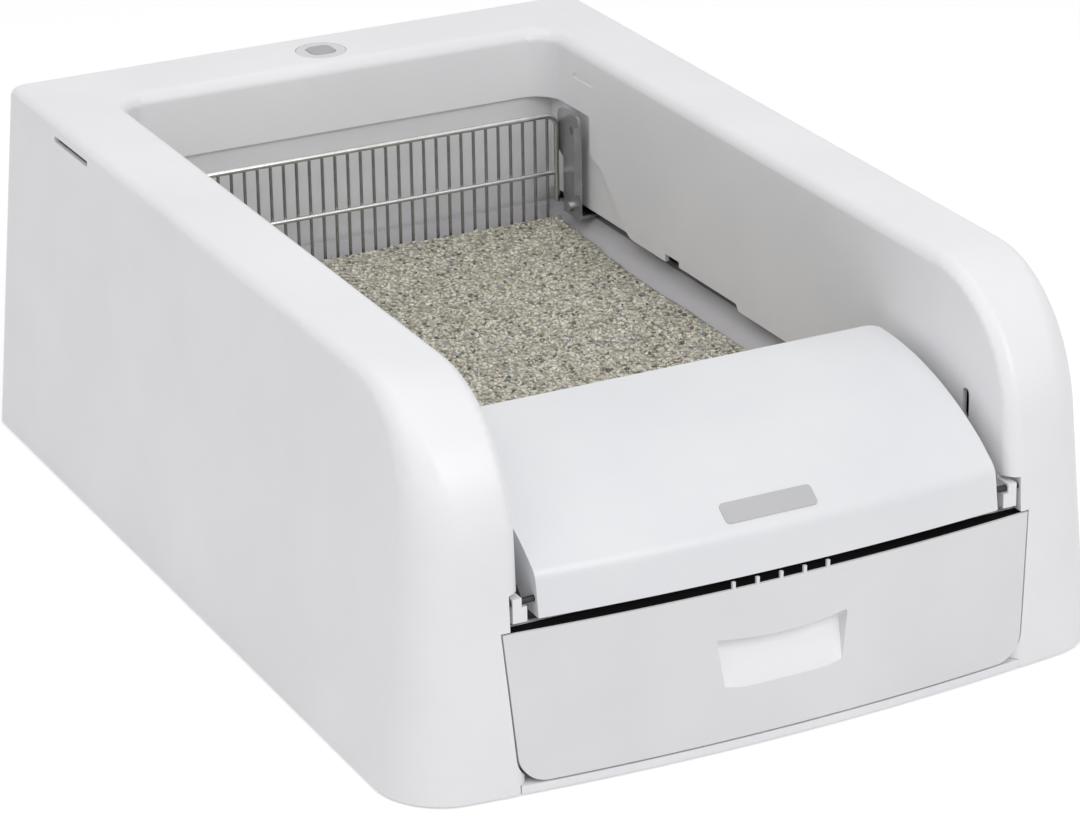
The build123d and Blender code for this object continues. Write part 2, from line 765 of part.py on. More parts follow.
with BuildPart() as bay_liner:
    # wall behind the parked rake, down to the base
    block((-liner_half, liner_half), (liner_back - liner_skin, liner_back), (floor_top, liner_top))
    block((-liner_half, liner_half), (liner_back - 1, liner_back + 8), (floor_top, floor_top + liner_skin))
    # cheeks behind the cut-outs in the inner walls
    with BuildSketch(Plane.YZ.offset(liner_half - liner_skin)):
        with BuildLine():
            Polyline(
                (liner_back, side_edge_height + 0.5),
                (bay_slope_foot - 9, side_edge_height + 0.5),
                (bay_front - 24, lip_height - 29),
                (bay_front - 10, liner_top),
                (liner_back, liner_top),
                close=True,
            )
        make_face()
    extrude(amount=liner_skin)
    mirror(about=Plane.YZ)
    for x in liner_screw_places:
        bar((x, liner_back + 4, 0), (x, liner_back + 4, 20), screw_radius + loose_fit, Mode.SUBTRACT)
save(bay_liner.part, "bay_liner")

with BuildPart() as liner_screws:
    for x in liner_screw_places:
        top = floor_top + liner_skin
        bar((x, liner_back + 4, floor_under), (x, liner_back + 4, top), screw_radius)
        bar((x, liner_back + 4, top), (x, liner_back + 4, top + 2), screw_head)
save(liner_screws.part, "liner_screws")

# ---------------------------------------------------------------- rake
cross_wire_y = rake_y + (top_wire - cross_wire) / 2
tine_y = rake_y + (top_wire + tine_wire) / 2
with BuildPart() as rake_frame:
    with BuildLine():
        FilletPolyline(
            (-rake_half, rake_y, side_wire_foot),
            (-rake_half, rake_y, top_wire_height),
            (rake_half, rake_y, top_wire_height),
            (rake_half, rake_y, side_wire_foot),
            radius=wire_bend,
        )
    with BuildSketch(Plane.XY.offset(side_wire_foot)):
        with Locations((-rake_half, rake_y)):
            Circle(top_wire / 2)
    sweep()
    cross_place = (cross_wire_y, cross_wire_height)
    bar((-rake_half, *cross_place), (rake_half, *cross_place), cross_wire / 2)
save(rake_frame.part, "rake_frame")

with BuildPart() as rake_tines:
    with Locations((0, tine_y, (tine_foot + top_wire_height) / 2)):
        with GridLocations(tine_pitch, 1, tine_count, 1):
            Cylinder(tine_wire / 2, top_wire_height - tine_foot)
save(rake_tines.part, "rake_tines")

lug_back = rake_y + 2
with BuildPart() as rake_plate:
    with BuildSketch(Plane.YZ.offset(plate_x)):
        with BuildLine():
            Polyline(
                (plate_front, tongue_height),
                (plate_front, plate_top),
                (lug_back, plate_top),
                (lug_back, plate_top - plate_lug),
                (plate_front + 25, plate_top - plate_lug - 5),
                (plate_front + 25, tongue_height),
                close=True,
            )
        make_face()
        lug = vertices().group_by(Axis.Y)[-1]
        fillet(lug, 7)
        with Locations((plate_front + 11.5, plate_top - 13)):
            Circle(3, mode=Mode.SUBTRACT)
    extrude(amount=plate_skin)
    # turned-in front edge, and the foot under the carriage
    hem_z = (tongue_height + 20, plate_top - 8)
    block((plate_x - 4, plate_x + 1), (plate_front, plate_front + plate_skin), hem_z)
    block((plate_x, rod_x - 4), (plate_front + 2, plate_front + 24), (tongue_height, carriage_bottom))
    bar((plate_x - 1, *bolt_place), (plate_x + 4, *bolt_place), 2.3, Mode.SUBTRACT)
    bar((*carriage_screw, tongue_height - 5), (*carriage_screw, carriage_bottom + 5), 1.9, Mode.SUBTRACT)
save_pair(rake_plate.part, "rake_plate")

with BuildPart() as rake_bolts:
    bar((plate_x, *bolt_place), (plate_x + plate_skin + 1.6, *bolt_place), 2)
    bar((plate_x - 2.6, *bolt_place), (plate_x, *bolt_place), 4)
    mirror(about=Plane.YZ)
save(rake_bolts.part, "rake_bolts")

with BuildPart() as carriage:
    block((carriage_inner, carriage_outer), (carriage_front, carriage_back), (carriage_bottom, carriage_top))
    fillet(carriage.edges().filter_by(Axis.Y), 2)
    rod_bore = rod_radius + running_fit
    bar((rod_x, carriage_front - 1, rod_z), (rod_x, carriage_back + 1, rod_z), rod_bore, Mode.SUBTRACT)
    screw_bore = screw_radius + 0.1
    bar((*carriage_screw, carriage_bottom - 1), (*carriage_screw, rod_z + 6), screw_bore, Mode.SUBTRACT)
save_pair(carriage.part, "carriage")

with BuildPart() as carriage_screws:
    bar((*carriage_screw, tongue_height), (*carriage_screw, rod_z), screw_radius)
    bar((*carriage_screw, tongue_height - 1.4), (*carriage_screw, tongue_height), 3)
    mirror(about=Plane.YZ)
save(carriage_screws.part, "carriage_screws")

with BuildPart() as belt_clamps:
    clamp_y = (carriage_front + 14, carriage_front + 28)
    block((carriage_outer, belt_x + 5), clamp_y, (belt_low - 5, belt_low + 7))
    block((carriage_outer + 1.5, belt_x + 6), (carriage_front, carriage_back),
          (belt_low - 0.2, belt_low + belt_thick + 0.2), Mode.SUBTRACT)
    mirror(about=Plane.YZ)
save(belt_clamps.part, "belt_clamps")

# ---------------------------------------------------------------- drive
with BuildPart() as guide_rod:
    bar((rod_x, rod_front, rod_z), (rod_x, rod_back, rod_z), rod_radius)
save_pair(guide_rod.part, "guide_rod")

with BuildPart() as belt:
    with BuildSketch(Plane.YZ.offset(belt_x - belt_width / 2)):
        with Locations(((pulley_y + idler_y) / 2, belt_z)):
            SlotCenterToCenter(pulley_y - idler_y, 2 * (pulley_radius + belt_thick))
            SlotCenterToCenter(pulley_y - idler_y, 2 * pulley_radius, mode=Mode.SUBTRACT)
    extrude(amount=belt_width)
save_pair(belt.part, "belt")


def pulley(y, bore):
    """Flanged belt pulley on the right-hand side."""
    low = belt_x - belt_width / 2 - 0.2
    high = belt_x + belt_width / 2 + 0.2
    with BuildPart() as wheel:
        bar((low - 0.8, y, belt_z), (high + 0.8, y, belt_z), pulley_radius - 0.2)
        bar((low - 0.8, y, belt_z), (low, y, belt_z), pulley_radius + 2.4)
        bar((high, y, belt_z), (high + 0.8, y, belt_z), pulley_radius + 2.4)
        bar((low - 2, y, belt_z), (high + 2, y, belt_z), bore, Mode.SUBTRACT)
    return wheel.part


save_pair(pulley(pulley_y, shaft_radius + 0.05), "drive_pulley")
save_pair(pulley(idler_y, idler_pin + running_fit), "idler")

with BuildPart() as idler_pins:
    bar((rod_x + 6, idler_y, belt_z), (belt_x + 5, idler_y, belt_z), idler_pin)
    bar((belt_x + 5, idler_y, belt_z), (belt_x + 7, idler_y, belt_z), idler_pin + 2)
    mirror(about=Plane.YZ)
save(idler_pins.part, "idler_pins")

with BuildPart() as drive_shaft:
    bar((-shaft_half, pulley_y, belt_z), (shaft_half, pulley_y, belt_z), shaft_radius)
save(drive_shaft.part, "drive_shaft")

with BuildPart() as shaft_bushes:
    bar((rod_x - 5, pulley_y, belt_z), (rod_x + 3, pulley_y, belt_z), bush_radius)
    bar((rod_x + 2, pulley_y, belt_z), (rod_x + 3.4, pulley_y, belt_z), bush_radius + 2)
    shaft_bore = shaft_radius + running_fit
    bar((rod_x - 6, pulley_y, belt_z), (rod_x + 5, pulley_y, belt_z), shaft_bore, Mode.SUBTRACT)
    mirror(about=Plane.YZ)
save(shaft_bushes.part, "shaft_bushes")


def gear(teeth, y, z, x, face, bore, turned):
    """Spur gear with involute flanks, thinned a little so that the pair runs free."""
    pitch = gear_module * teeth / 2
    base_circle = pitch * cos(radians(20))
    tip = pitch + 0.9 * gear_module
    root = pitch - 1.25 * gear_module

    def involute(radius):
        angle = sqrt(max((radius / base_circle) ** 2 - 1, 0))
        return angle - atan(angle)

    half_tooth = pi / (2 * teeth) - 0.09 / pitch
    flank = []
    for i in range(4):
        radius = max(base_circle, root) + (tip - max(base_circle, root)) * i / 3
        flank.append((radius, half_tooth + involute(pitch) - involute(radius)))
    points = []
    for tooth in range(teeth):
        middle = 2 * pi * tooth / teeth + radians(turned)
        points.append((root, middle - flank[0][1] - 0.1 / root))
        points += [(radius, middle - angle) for radius, angle in flank]
        points += [(radius, middle + angle) for radius, angle in reversed(flank)]
        points.append((root, middle + flank[0][1] + 0.1 / root))
    with BuildPart() as wheel:
        with BuildSketch(Plane(origin=(x - face / 2, y, z), x_dir=(0, 1, 0), z_dir=(1, 0, 0))):
            with BuildLine():
                Polyline([(r * cos(a), r * sin(a)) for r, a in points], close=True)
            make_face()
            Circle(bore, mode=Mode.SUBTRACT)
        extrude(amount=face)
    return wheel.part


with BuildPart() as drive_gear:
    add(gear(gear_teeth, pulley_y, belt_z, gear_x, gear_face, shaft_radius + 0.05, -90))
    bar((gear_x + gear_face / 2, pulley_y, belt_z), (gear_x + gear_face / 2 + 6, pulley_y, belt_z), 8)
    bar((gear_x, pulley_y, belt_z), (gear_x + 12, pulley_y, belt_z), shaft_radius + 0.05, Mode.SUBTRACT)
save(drive_gear.part, "drive_gear")
pinion = gear(pinion_teeth, pulley_y, pinion_z, gear_x, gear_face, 2.05, 90 + 180 / pinion_teeth)
save(pinion, "motor_pinion")

with BuildPart() as gear_motor:
    bar((motor_x, pulley_y, pinion_z), (motor_x + motor_length, pulley_y, pinion_z), motor_radius)
    bar((motor_x + motor_length, pulley_y, pinion_z), (motor_x + motor_length + 5, pulley_y, pinion_z), 6)
    bar((gear_x - 4, pulley_y, pinion_z), (motor_x, pulley_y, pinion_z), 2)
save(gear_motor.part, "gear_motor")

with BuildPart() as motor_bracket:
    block((motor_x - 3, motor_x), (pulley_y - 20, pulley_y + 20), (floor_top, pinion_z + 20))
    block((motor_x - 3, motor_x + 18), (pulley_y - 20, pulley_y + 20), (floor_top, floor_top + 3))
    bar((motor_x - 5, pulley_y, pinion_z), (motor_x + 5, pulley_y, pinion_z), 5, Mode.SUBTRACT)
    for y in motor_screw_y:
        bar((motor_x - 5, y, pinion_z), (motor_x + 5, y, pinion_z), screw_radius + loose_fit, Mode.SUBTRACT)
        bar((motor_x + 10, y, 0), (motor_x + 10, y, 20), screw_radius + loose_fit, Mode.SUBTRACT)
save(motor_bracket.part, "motor_bracket")

with BuildPart() as motor_screws:
    for y in motor_screw_y:
        bar((motor_x - 5, y, pinion_z), (motor_x - 3, y, pinion_z), 2.8)
        bar((motor_x - 3, y, pinion_z), (motor_x, y, pinion_z), screw_radius)
        bar((motor_x + 10, y, floor_under), (motor_x + 10, y, floor_top + 3), screw_radius)
        bar((motor_x + 10, y, floor_top + 3), (motor_x + 10, y, floor_top + 5), 2.8)
save(motor_screws.part, "motor_screws")


# ---------------------------------------------------------------- waste cover
def cover_point(place, ahead=0.0, drop=0.0):
    """A place in the cover's section, moved ahead (-Y) and down."""
    return front_y + place[0] - ahead, drawer_top + place[1] - drop


def cover_section(x, inset):
    """Section of the cover at one place across it; its front follows the bow."""
    bow = (cover_half**2 - x**2) / (2 * bow_radius)
    back_top = cover_point(cover_back_place, -inset, inset)
    crest = cover_point(cover_crest_place, 0.3 * bow, inset)
    brow = cover_point(cover_brow_place, bow - 0.4 * inset, 0.9 * inset)
    chin = cover_point(cover_chin_place, bow - 0.95 * inset, 0.45 * inset)
    lip = cover_point(cover_lip_place, bow - inset)
    face = (cover_chin_place[0] - cover_lip_place[0]) / (cover_chin_place[1] - cover_lip_place[1])
    low = drawer_top - 14
    with BuildSketch(Plane.YZ.offset(x)) as section:
        with BuildLine():
            ThreePointArc(back_top, crest, brow)
            if inset > 0:
                foot = (lip[0] - face * (lip[1] - low), low)
                Polyline(brow, chin, foot, (back_top[0], low), back_top)
            else:
                step = (lip[0] + bow + 18, lip[1])
                heel = (lip[0] + bow + 30, cover_skirt)
                Polyline(brow, chin, lip, step, heel, (back_top[0], cover_skirt), back_top)
        make_face()
        fillet(vertices().sort_by_distance((*chin, 0))[0], bullnose - inset)
    return section.sketch


def cover_solid(half, inset):
    """The whole cover as a solid, with its two rear corners rounded."""
    with BuildPart() as solid:
        for share in (-1, -0.5, 0, 0.5, 1):
            add(cover_section(half * share, inset))
        loft()
        if inset >= 0:
            rear = solid.edges().group_by(Axis.Y)[-1]
            fillet([edge for edge in rear if abs(edge.center().X) > half - 1], cover_corner - inset)
    return solid.part


with BuildPart() as waste_cover:
    add(cover_solid(cover_half, 0))
    add(cover_solid(cover_half - cover_skin, cover_skin), mode=Mode.SUBTRACT)
    for side in (-1, 1):
        inner = (side * (cover_half - 8), hinge_y, hinge_z)
        bar(inner, (side * (cover_half - 1), hinge_y, hinge_z), hinge_boss)
        bar(inner, (side * (cover_half + 1), hinge_y, hinge_z), hinge_pin + running_fit, Mode.SUBTRACT)
save(waste_cover.part, "waste_cover")

with BuildPart() as hinge_pins:
    bar((cover_half - 9, hinge_y, hinge_z), (half_open + 15.5, hinge_y, hinge_z), hinge_pin)
    mirror(about=Plane.YZ)
save(hinge_pins.part, "hinge_pins")

with BuildPart() as cover_plate:
    fall = cover_brow_place[1] - cover_chin_place[1]
    run = cover_brow_place[0] - cover_chin_place[0]
    seat_y = front_y + badge_behind - cover_half**2 / (2 * bow_radius)
    with BuildSketch(Plane(origin=(0, seat_y, drawer_top + 41), x_dir=(1, 0, 0), z_dir=(0, -fall, run))):
        RectangleRounded(*badge, 3)
    extrude(amount=12, both=True)
    add(cover_solid(cover_half, -badge_thick), mode=Mode.INTERSECT)
    add(cover_solid(cover_half, 0), mode=Mode.SUBTRACT)
save(cover_plate.part, "cover_plate")

# ---------------------------------------------------------------- drawer
def scoop(margin, depth):
    """The finger scoop's hollow: deepest at its top edge, running out at its foot."""
    front = front_at(0, scoop_low)
    with BuildPart() as hollow:
        with BuildSketch(Plane.XZ.offset(length)):
            with BuildLine():
                top_left = (-scoop_width / 2 - margin, scoop_high + margin)
                top_right = (scoop_width / 2 + margin, scoop_high + margin)
                foot_left = (-scoop_foot_width / 2 - margin, scoop_low - margin)
                foot_right = (scoop_foot_width / 2 + margin, scoop_low - margin)
                ThreePointArc(top_left, (0, scoop_high + margin - scoop_sag), top_right)
                Polyline(top_right, foot_right, foot_left, top_left)
            make_face()
            fillet(vertices().group_by(Axis.Y)[0], 3 + margin)
            fillet(vertices().group_by(Axis.Y)[-1], 1.2 + margin)
        extrude(amount=-length)
        with BuildSketch(Plane.YZ.offset(-width / 2)):
            with BuildLine():
                Polyline(
                    (front - 20, scoop_low - margin - 1),
                    (front + depth - 0.3, scoop_low - margin - 1),
                    (front + depth + scoop_depth, scoop_high + margin),
                    (front - 20, scoop_high + margin),
                    close=True,
                )
            make_face()
            deepest = vertices().sort_by_distance((front + depth + scoop_depth, scoop_high + margin, 0))[0]
            fillet(deepest, 6 + margin)
        extrude(amount=width, mode=Mode.INTERSECT)
    return hollow.part


def seal_block(gap, low, high):
    """Strip behind the drawer front's top lip, its sides moved in by the gap."""
    half = drawer_half_top - seal_lip - gap
    return front_block(seal_lip + gap, half, half, low, high, panel_back - 3 - gap, 0)


with BuildPart() as drawer_front:
    add(front_block(0, drawer_half_top, drawer_half_foot, drawer_foot, drawer_top, panel_back, drawer_corner))
    add(front_block(panel_skin, drawer_half_top - panel_skin, drawer_half_foot - panel_skin,
                    drawer_foot + panel_skin, drawer_top - seal_depth - panel_skin, panel_back + 5,
                    drawer_corner - panel_skin), mode=Mode.SUBTRACT)
    scoop_shell = scoop(2.5, 2.5) & front_block(1, 80, 80, scoop_low - 8, scoop_high + 8, panel_back, 0)
    add(scoop_shell)
    # bosses that the bin is screwed to
    for x, z in drawer_screw_places:
        bar((x, front_at(x, z) + 1, z), (x, panel_back, z), 4.5)
        bar((x, panel_back - 14, z), (x, panel_back + 1, z), screw_radius + 0.1, Mode.SUBTRACT)
    add(scoop(0, 0), mode=Mode.SUBTRACT)
    # channel that holds the seal
    add(seal_block(0, drawer_top - seal_depth, drawer_top + 1), mode=Mode.SUBTRACT)
    # ribs that stand up through the seal
    for i in range(rib_count):
        x = (i - (rib_count - 1) / 2) * rib_pitch
        y = front_at(x, drawer_top) + 0.4
        rib_x = (x - rib_width / 2, x + rib_width / 2)
        block(rib_x, (y, y + seal_lip), (drawer_top - seal_depth, drawer_top + rib_height))
save(drawer_front.part, "drawer_front")

with BuildPart() as drawer_seal:
    add(seal_block(0.1, drawer_top - seal_depth, drawer_top - 0.3))
    for i in range(rib_count):
        x = (i - (rib_count - 1) / 2) * rib_pitch
        y = front_at(x, drawer_top)
        gap_x = (x - rib_width / 2 - 0.2, x + rib_width / 2 + 0.2)
        block(gap_x, (y, y + seal_lip + 0.8), (drawer_top - 5, drawer_top + 1), Mode.SUBTRACT)
save(drawer_seal.part, "drawer_seal")

with BuildPart() as drawer_bin:
    block((-bin_half, bin_half), (panel_back, bin_back), (runner_height, bin_top))
    fillet(drawer_bin.edges().filter_by(Axis.Z).group_by(Axis.Y)[-1], 12)
    block((-bin_half - 3, bin_half + 3), (panel_back, bin_back + 3), (bin_top - 2, bin_top))
    with BuildSketch(Plane.XY.offset(bin_top)) as inside:
        with Locations((0, (panel_back + bin_back) / 2)):
            Rectangle(2 * (bin_half - bin_wall), bin_back - panel_back - 2 * bin_wall)
        fillet(inside.vertices(), 10)
    extrude(amount=-(bin_top - runner_height - bin_wall), mode=Mode.SUBTRACT)
    for x, z in drawer_screw_places:
        bar((x, panel_back - 1, z), (x, panel_back + 4, z), screw_radius + loose_fit, Mode.SUBTRACT)
save(drawer_bin.part, "drawer_bin")

with BuildPart() as drawer_screws:
    for x, z in drawer_screw_places:
        bar((x, panel_back - 10, z), (x, panel_back + bin_wall, z), screw_radius)
        bar((x, panel_back + bin_wall, z), (x, panel_back + bin_wall + 2, z), 3)
save(drawer_screws.part, "drawer_screws")

# ---------------------------------------------------------------- controls and power
with BuildPart() as button_ring:
    with BuildSketch(Plane((*button_place, ring_seat))):
        Circle(ring_radius - loose_fit)
        RectangleRounded(button_size + 0.8, button_size + 0.8, button_corner + 0.4, mode=Mode.SUBTRACT)
    extrude(amount=ring_thick)
    rims = button_ring.edges().filter_by(GeomType.CIRCLE).group_by(Axis.Z)[-1]
    chamfer(rims.sort_by(SortBy.RADIUS)[-1], 0.4)
save(button_ring.part, "button_ring")

with BuildPart() as cycle_button:
    with BuildSketch(Plane((*button_place, deck_under - 0.4))):
        RectangleRounded(button_size, button_size, button_corner)
    extrude(amount=deck_top + 0.9 - deck_under + 0.4)
    chamfer(cycle_button.edges().group_by(Axis.Z)[-1], 0.7)
    with BuildSketch(Plane((*button_place, deck_under - 0.4))):
        RectangleRounded(button_size + 4, button_size + 4, button_corner + 1)
    extrude(amount=-1.6)
    bar((*button_place, deck_under - 2), (*button_place, switch_top + button_travel), 2.5)
save(cycle_button.part, "cycle_button")

with BuildPart() as button_board:
    with BuildSketch(Plane((*button_place, board_top))):
        Rectangle(2 * board_post_x + 10, 26)
        with Locations((-board_post_x, 0), (board_post_x, 0)):
            Circle(1.5, mode=Mode.SUBTRACT)
    extrude(amount=-board_skin)
    with Locations((*button_place, (board_top + switch_top) / 2)):
        Box(6, 6, switch_top - board_top)
save(button_board.part, "button_board")

with BuildPart() as board_screws:
    for x in (-board_post_x, board_post_x):
        board_under = board_top - board_skin
        bar((x, button_place[1], board_under), (x, button_place[1], board_top + 4), 1)
        bar((x, button_place[1], board_under - 1.4), (x, button_place[1], board_under), 2.2)
save(board_screws.part, "board_screws")

with BuildPart() as control_board:
    block(board_x, (board_y, board_y + board_skin), board_z)
save(control_board.part, "control_board")

with BuildPart() as board_components:
    left = board_x[0]
    face = board_y + board_skin
    top = board_z[1]
    block((left + 30, left + 44), (face, face + 2), (top - 22, top - 8))
    for x in (left + 54, left + 70):
        block((x, x + 12), (face, face + 9), (top - 18, top - 6))
    bar((left + 18, face, top - 16), (left + 18, face + 14, top - 16), 5)
save(board_components.part, "board_components")

with BuildPart() as limit_switch:
    block((rod_x + 6, rod_x + 12), (switch_y, switch_y + 13), (switch_height, switch_height + 14))
    block((rod_x + 8, rod_x + 10), (carriage_back + 1, switch_y), (switch_height + 11, switch_height + 12))
save(limit_switch.part, "limit_switch")

with BuildPart() as power_inlet:
    back_face = back_y - inlet_z * tan(radians(back_draft))

    def along_inlet(start, end, radius, mode=Mode.ADD):
        bar((inlet_x, back_face - start, inlet_z), (inlet_x, back_face - end, inlet_z), radius, mode)

    along_inlet(16, 0.6, inlet_radius - loose_fit)
    along_inlet(wall + 4, wall + 0.3, inlet_radius + 2.5)
    along_inlet(12, 0, 3.2, Mode.SUBTRACT)
    along_inlet(13, 3, 1)
save(power_inlet.part, "power_inlet")
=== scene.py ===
"""Looks for the drawer litter box: moulded ABS housing, plated wire rake and loose litter."""

import json
import math
import random

import bmesh
import bpy
from mathutils import Matrix, Vector, noise
from mathutils.bvhtree import BVHTree

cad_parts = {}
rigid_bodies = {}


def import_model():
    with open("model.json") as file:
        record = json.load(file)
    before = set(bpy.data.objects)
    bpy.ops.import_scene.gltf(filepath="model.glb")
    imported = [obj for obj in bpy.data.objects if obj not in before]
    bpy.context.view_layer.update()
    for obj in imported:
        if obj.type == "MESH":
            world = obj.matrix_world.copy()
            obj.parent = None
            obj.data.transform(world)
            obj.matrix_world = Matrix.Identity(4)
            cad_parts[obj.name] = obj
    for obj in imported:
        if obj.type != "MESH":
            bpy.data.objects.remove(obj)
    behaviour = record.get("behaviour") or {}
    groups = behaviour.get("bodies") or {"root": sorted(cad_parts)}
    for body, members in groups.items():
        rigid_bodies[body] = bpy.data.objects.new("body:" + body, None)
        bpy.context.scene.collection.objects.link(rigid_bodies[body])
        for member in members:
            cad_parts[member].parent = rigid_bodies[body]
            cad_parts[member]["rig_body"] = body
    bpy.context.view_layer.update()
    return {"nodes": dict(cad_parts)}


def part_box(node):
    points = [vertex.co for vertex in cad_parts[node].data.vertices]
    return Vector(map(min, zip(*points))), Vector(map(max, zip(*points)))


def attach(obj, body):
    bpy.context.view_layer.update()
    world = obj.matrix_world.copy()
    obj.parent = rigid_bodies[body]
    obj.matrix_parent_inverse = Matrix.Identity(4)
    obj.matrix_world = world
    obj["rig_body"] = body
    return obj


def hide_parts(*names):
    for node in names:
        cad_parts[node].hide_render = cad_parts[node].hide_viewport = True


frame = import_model()
nodes = frame["nodes"]
MM = 0.001


# ---------------------------------------------------------------- tools
def link(name, data):
    """A new object in the scene, at the origin."""
    thing = bpy.data.objects.new(name, data)
    bpy.context.scene.collection.objects.link(thing)
    return thing


def linear(hex_colour):
    """An sRGB hex colour as linear RGBA."""
    parts = [int(hex_colour[i:i + 2], 16) / 255 for i in (1, 3, 5)]
    return [p / 12.92 if p <= 0.04045 else ((p + 0.055) / 1.055) ** 2.4 for p in parts] + [1]


def repeats(size_mm):
    """The scale of a pattern whose patches are size_mm across, on coordinates in metres."""
    return 1000 / size_mm


def add_node(tree, kind, settings=None, links=None):
    """Adds a shader node, sets its properties and sockets, and links sockets to other outputs."""
    node = tree.nodes.new(kind)
    for key, value in (settings or {}).items():
        if isinstance(key, int) or key in node.inputs:
            node.inputs[key].default_value = value
        else:
            setattr(node, key, value)
    for key, source in (links or {}).items():
        tree.links.new(source, node.inputs[key])
    return node


# ---------------------------------------------------------------- camera, light and floor
# the photograph's view, fitted to it: where the camera stands and which way its axes point
camera_place = (-1.0946, -2.1903, 1.1147)
camera_right = Vector((0.8894003, -0.4569225, -0.0137462))
camera_up = Vector((0.1883332, 0.3388595, 0.9217944))
camera_ahead = Vector((0.4165306, 0.8224330, -0.3874354))
focal_length = 3963.4  # in the photograph's pixels
photo_width = 1080  # in pixels
sensor_width = 36  # mm

lamp_target = (0, 0, 0.1)  # near the middle of the box
studio_light = 0.57  # the world's strength on the object
paper_lift = 0.4  # what the sweep adds to itself where it is seen, so that it reads as white


def add_camera():
    """A long lens, from the front left and above."""
    camera = link("camera", bpy.data.cameras.new("camera"))
    turned = Matrix((camera_right, camera_up, -camera_ahead)).transposed().to_4x4()
    camera.matrix_world = Matrix.Translation(camera_place) @ turned
    camera.data.sensor_fit = "HORIZONTAL"
    camera.data.sensor_width = sensor_width
    camera.data.lens = focal_length * sensor_width / photo_width
    camera.data.clip_end = 50
    bpy.context.scene.camera = camera


def add_softbox(name, place, size, watts):
    """A rectangular lamp, aimed at the box."""
    lamp = bpy.data.lights.new(name, "AREA")
    lamp.shape = "RECTANGLE"
    lamp.size, lamp.size_y = size
    lamp.energy = watts
    holder = link(name, lamp)
    holder.location = place
    aim = Vector(lamp_target) - Vector(place)
    holder.rotation_euler = aim.to_track_quat("-Z", "Y").to_euler()


def sees_backdrop(tree, *rays):
    """1 for the kinds of ray that are to see the white backdrop, 0 for the rest."""
    path = add_node(tree, "ShaderNodeLightPath")
    seen = path.outputs[rays[0]]
    for ray in rays[1:]:
        either = add_node(tree, "ShaderNodeMath", {"operation": "MAXIMUM"},
                          {0: seen, 1: path.outputs[ray]})
        seen = either.outputs[0]
    return seen


def set_world():
    """Even studio light; camera, glossy and transmission rays see the white backdrop."""
    world = bpy.data.worlds.new("studio")
    bpy.context.scene.world = world
    world.use_nodes = True
    tree = world.node_tree
    tree.nodes.clear()
    seen = sees_backdrop(tree, "Is Camera Ray", "Is Transmission Ray", "Is Glossy Ray")
    light = add_node(tree, "ShaderNodeBackground",
                     {"Color": linear("#f7f7fa"), "Strength": studio_light})
    white = add_node(tree, "ShaderNodeBackground", {"Color": (1, 1, 1, 1), "Strength": 1})
    mixed = add_node(tree, "ShaderNodeMixShader", {},
                     {0: seen, 1: light.outputs[0], 2: white.outputs[0]})
    add_node(tree, "ShaderNodeOutputWorld", {}, {0: mixed.outputs[0]})


def add_floor():
    """White paper sweep: the shadow stays, and the rest of it reads as the white background."""
    bm = bmesh.new()
    bmesh.ops.create_grid(bm, x_segments=1, y_segments=1, size=6)
    mesh = bpy.data.meshes.new("floor")
    bm.to_mesh(mesh)
    bm.free()
    floor = link("floor", mesh)
    material = bpy.data.materials.new("white paper sweep")
    material.use_nodes = True
    tree = material.node_tree
    tree.nodes.clear()
    seen = sees_backdrop(tree, "Is Camera Ray", "Is Glossy Ray")
    lift = add_node(tree, "ShaderNodeMath", {"operation": "MULTIPLY", 1: paper_lift}, {0: seen})
    paper = add_node(tree, "ShaderNodeBsdfDiffuse", {"Color": linear("#e6e6e6")})
    glow = add_node(tree, "ShaderNodeEmission", {"Color": (1, 1, 1, 1)},
                    {"Strength": lift.outputs[0]})
    both = add_node(tree, "ShaderNodeAddShader", {}, {0: paper.outputs[0], 1: glow.outputs[0]})
    add_node(tree, "ShaderNodeOutputMaterial", {}, {0: both.outputs[0]})
    mesh.materials.append(material)


add_camera()
set_world()
add_floor()
add_softbox("top softbox", (-0.3, 0.0, 2.6), (2.4, 2.4), watts=12)
add_softbox("front softbox", (0.2, -2.7, 2.2), (2.0, 1.6), watts=33)
add_softbox("left softbox", (-2.0, -0.6, 2.3), (1.6, 1.6), watts=10)
bpy.context.scene.view_settings.view_transform = "Standard"


# ---------------------------------------------------------------- materials
def new_material(name, roughness, ior=None):
    """A material, its shader and Object coordinates. Without an IOR it is a metal."""
    material = bpy.data.materials.new(name)
    material.use_nodes = True
    tree = material.node_tree
    shader = tree.nodes["Principled BSDF"]
    shader.inputs["Roughness"].default_value = roughness
    if ior is None:
        shader.inputs["Metallic"].default_value = 1
    else:
        shader.inputs["IOR"].default_value = ior
    places = add_node(tree, "ShaderNodeTexCoord").outputs["Object"]
    return material, tree, shader, places


def two_tone(tree, shader, places, low, high, size_mm):
    """Slow drift between two close colours, its patches about size_mm across."""
    drift = add_node(tree, "ShaderNodeTexNoise", {"Scale": repeats(size_mm), "Detail": 3.0},
                     {"Vector": places})
    ramp = add_node(tree, "ShaderNodeValToRGB", {}, {"Fac": drift.outputs["Fac"]})
    # noise seldom leaves 0.3 to 0.7, so each tone stands at one end of that
    for tone, position, colour in zip(ramp.color_ramp.elements, (0.3, 0.7), (low, high)):
        tone.position = position
        tone.color = linear(colour)
    tree.links.new(ramp.outputs["Color"], shader.inputs["Base Color"])


def roughness_drift(tree, shader, places, low, high, size_mm):
    """Roughness that wanders a little, as handling and the mould leave it."""
    drift = add_node(tree, "ShaderNodeTexNoise", {"Scale": repeats(size_mm), "Detail": 3.0},
                     {"Vector": places})
    spread = add_node(tree, "ShaderNodeMapRange", {"To Min": low, "To Max": high},
                      {"Value": drift.outputs["Fac"]})
    tree.links.new(spread.outputs["Result"], shader.inputs["Roughness"])


